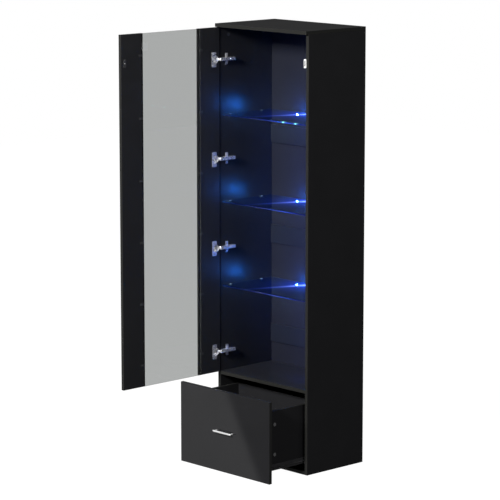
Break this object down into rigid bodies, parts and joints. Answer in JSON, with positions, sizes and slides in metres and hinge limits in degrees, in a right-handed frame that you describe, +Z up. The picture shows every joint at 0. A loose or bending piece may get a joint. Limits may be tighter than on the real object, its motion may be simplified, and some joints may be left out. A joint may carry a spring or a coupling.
{
  "type": "glazed display cabinet",
  "caption": "Tall free-standing display cabinet with a glazed hinged door, lit glass shelves and a drawer below.",
  "frame": {"origin": "on the floor, under the middle of the cabinet's width and of the bottom panel's front-to-back middle plane", "axes": "+X to the cabinet's right seen from the front, -Y towards the front, +Z up"},
  "size_m": [0.55, 0.888, 1.87],
  "materials": {
    "black_board": "matt black melamine-faced board",
    "black_gloss_board": "black gloss foil on MDF",
    "dark_hardboard": "black lacquered hardboard",
    "zinc_fitting": "zinc die cast, dull",
    "beech_dowel": "fluted beech",
    "shelf_glass": "clear float glass, ground edges",
    "door_glass": "grey tinted toughened glass",
    "steel_pin": "bright zinc plated",
    "clear_rubber": "soft translucent pad",
    "clip_housing": "frosted clear plastic",
    "led_lens": "blue light lens",
    "white_plastic": "white moulded plastic",
    "magnet": "dark ferrite",
    "strike_steel": "black zinc",
    "hinge_nickel": "nickel plated pressed steel",
    "screw_steel": "zinc plated",
    "black_plastic": "black moulded plastic",
    "handle_chrome": "polished chrome",
    "runner_black": "black powder coat",
    "roller_nylon": "black nylon"
  },
  "bodies": {
    "cabinet": {"back_rail_lower": "black_board", "back_rail_middle": "black_board", "back_rail_upper": "black_board", "back_sheet_bay_1": "dark_hardboard", "back_sheet_bay_2": "dark_hardboard", "back_sheet_bay_3": "dark_hardboard", "back_sheet_bay_4": "dark_hardboard", "back_sheet_drawer_bay": "dark_hardboard", "bottom_panel": "black_board", "cabinet_runner_left": "runner_black", "cabinet_runner_right": "runner_black", "cabinet_wood_screws": "screw_steel", "carcass_cam_bolts": "zinc_fitting", "carcass_cam_locks": "strike_steel", "carcass_dowels": "beech_dowel", "catch_housing": "white_plastic", "catch_magnet": "magnet", "fixed_shelf": "black_board", "glass_shelf_lower": "shelf_glass", "glass_shelf_middle": "shelf_glass", "glass_shelf_upper": "shelf_glass", "hinge_arm_pins": "steel_pin", "hinge_arm_screws": "hinge_nickel", "hinge_arms": "hinge_nickel", "hinge_mounting_plates": "hinge_nickel", "led_clip_lower": "clip_housing", "led_clip_middle": "clip_housing", "led_clip_upper": "clip_housing", "led_lenses": "led_lens", "left_side_panel": "black_board", "right_side_panel": "black_board", "shelf_support_pads": "clear_rubber", "shelf_support_pins": "strike_steel", "top_panel": "black_board"},
    "hinge_links": {"hinge_links": "hinge_nickel"},
    "door": {"door_hinge_stile": "black_gloss_board", "door_free_stile": "black_gloss_board", "door_glass": "door_glass", "glass_clips": "black_plastic", "glass_clip_screws": "strike_steel", "strike_plate": "strike_steel", "door_wood_screws": "screw_steel", "hinge_cups": "hinge_nickel", "hinge_cup_pins": "steel_pin"},
    "drawer": {"drawer_front": "black_gloss_board", "drawer_side_left": "black_board", "drawer_side_right": "black_board", "drawer_back": "black_board", "drawer_bottom": "dark_hardboard", "drawer_cam_locks": "zinc_fitting", "drawer_cam_bolts": "zinc_fitting", "drawer_wood_screws": "strike_steel", "drawer_handle": "handle_chrome", "drawer_handle_screws": "screw_steel", "drawer_runner_left": "runner_black", "drawer_runner_right": "runner_black"},
    "front_rollers": {"cabinet_rollers": "roller_nylon"},
    "rear_rollers": {"drawer_rollers": "roller_nylon"}
  },
  "joints": [
    {"name": "link_turn", "type": "hinge", "parent": "cabinet", "child": "hinge_links", "pos_m": [-0.24671, -0.16738, 0.9], "axis": [0, 0, 1], "range_deg": [-44.2, 5.36]},
    {"name": "door_swing", "type": "hinge", "parent": "hinge_links", "child": "door", "pos_m": [-0.26012, -0.17638, 0.9], "axis": [0, 0, 1], "range_deg": [-14.86, 133.7]},
    {"name": "drawer_slide", "type": "slide", "parent": "cabinet", "child": "drawer", "axis": [0, -1, 0], "range_m": [-0.202, 0.023]},
    {"name": "front_roller_spin", "type": "hinge", "parent": "cabinet", "child": "front_rollers", "pos_m": [0, -0.146, 0.052], "axis": [1, 0, 0], "range_deg": [-1381.62, 175.04]},
    {"name": "rear_roller_spin", "type": "hinge", "parent": "drawer", "child": "rear_rollers", "pos_m": [0, -0.075, 0.0504], "axis": [1, 0, 0], "range_deg": [-1305.97, 166.42]}
  ],
  "couplings": [
    {"joint": "link_turn", "follows": "door_swing", "ratio": -0.32684},
    {"joint": "front_roller_spin", "follows": "drawer_slide", "rad_per_m": 117.65},
    {"joint": "rear_roller_spin", "follows": "drawer_slide", "rad_per_m": 111.11}
  ]
}
